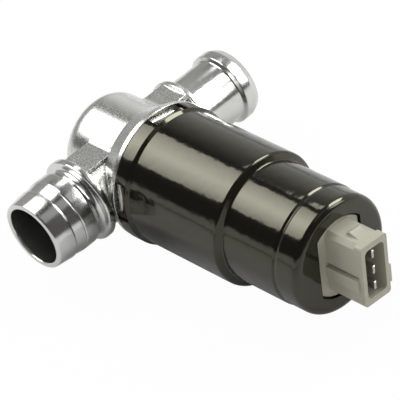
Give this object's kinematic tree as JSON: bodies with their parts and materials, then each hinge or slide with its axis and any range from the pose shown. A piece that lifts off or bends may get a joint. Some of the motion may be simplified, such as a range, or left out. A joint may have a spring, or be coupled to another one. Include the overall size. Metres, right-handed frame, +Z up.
{
  "type": "idle air control valve",
  "caption": "Rotary idle air valve: cast body with two in-line hose nipples, stepped round motor can and a flat plug socket.",
  "frame": {"origin": "on the motor axis, at the middle of the plain cylinder of the motor can that a clamp holds", "axes": "+X along the motor axis from the valve chamber to the plug, +Y along the hose nipples towards the one with a single barb, +Z up"},
  "size_m": [0.1058, 0.0795, 0.0404],
  "materials": {
    "cast_aluminium": "bright tumbled casting, nipples turned",
    "black_painted_steel": "glossy black paint",
    "grey_plastic": "satin light grey moulding",
    "black_plastic": "dull glass-filled moulding",
    "seal_rubber": "smooth rubber",
    "ferrite": "ground dark grey ceramic",
    "copper_wire": "varnished copper",
    "carbon": "dull carbon",
    "sintered_bronze": "sintered bronze",
    "tinned_brass": "tinned",
    "core_iron": "stacked sheet iron",
    "bright_steel": "bright ground steel"
  },
  "bodies": {
    "housing": {"valve_body": "cast_aluminium", "bearing_plate": "cast_aluminium", "stop_pin": "bright_steel", "plate_seal": "seal_rubber", "shaft_seal": "seal_rubber", "bearing_outer_race": "bright_steel", "bearing_balls": "bright_steel", "motor_can": "black_painted_steel", "magnet_far": "ferrite", "magnet_near": "ferrite", "magnet_clip_upper": "bright_steel", "magnet_clip_lower": "bright_steel", "brush_holder": "black_plastic", "brush_a": "carbon", "brush_b": "carbon", "brush_c": "carbon", "brush_spring_a": "bright_steel", "brush_spring_b": "bright_steel", "brush_spring_c": "bright_steel", "rear_bush": "sintered_bronze", "thrust_washer": "bright_steel", "plug_housing": "grey_plastic", "plug_seal": "seal_rubber", "blade_upper": "tinned_brass", "blade_middle": "tinned_brass", "blade_lower": "tinned_brass"},
    "rotor": {"rotor_shaft": "bright_steel", "retaining_ring": "bright_steel", "bearing_inner_race": "bright_steel", "rotary_slide": "cast_aluminium", "armature_core": "core_iron", "opening_winding": "copper_wire", "closing_winding": "copper_wire", "contact_drum": "black_plastic", "slip_contacts": "copper_wire"}
  },
  "joints": [
    {"name": "rotor_turn", "type": "hinge", "parent": "housing", "child": "rotor", "pos_m": [0, 0, 0], "axis": [1, 0, 0], "range_deg": [-20, 50]}
  ]
}
